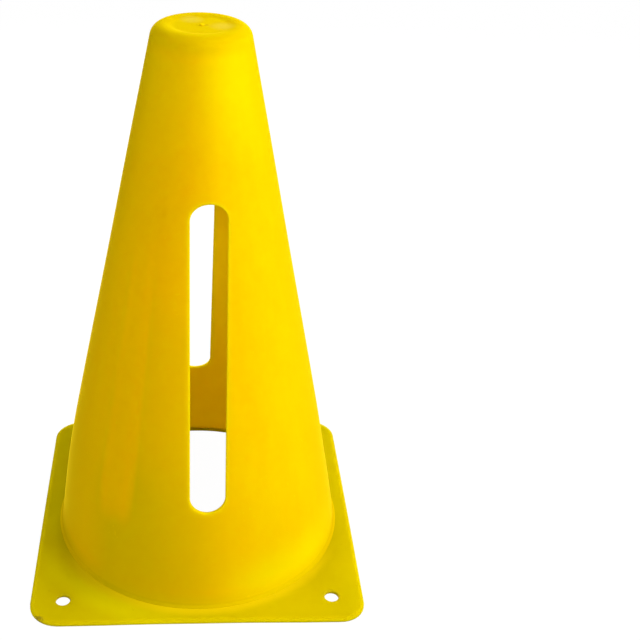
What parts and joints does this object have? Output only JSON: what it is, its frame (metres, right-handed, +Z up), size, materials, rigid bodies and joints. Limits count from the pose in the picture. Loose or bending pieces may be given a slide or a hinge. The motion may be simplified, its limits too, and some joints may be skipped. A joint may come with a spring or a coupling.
{
  "type": "marker cone",
  "caption": "Hollow tapering marker cone for sports, with a rounded, dished crown, a long slot in its front and in its back, and a square flange with a peg hole in each corner.",
  "frame": {"origin": "centre of the square flange's underside, on the ground", "axes": "+Z up along the cone's axis, -Y towards the front slot, +X to the right as seen from the front"},
  "size_m": [0.14, 0.14, 0.229],
  "materials": {
    "cone_plastic": "satin, slightly translucent",
    "flange_plastic": "satin, slightly translucent"
  },
  "bodies": {
    "root": {"base_plate": "flange_plastic", "cone_wall": "cone_plastic", "crown": "cone_plastic"}
  },
  "joints": []
}
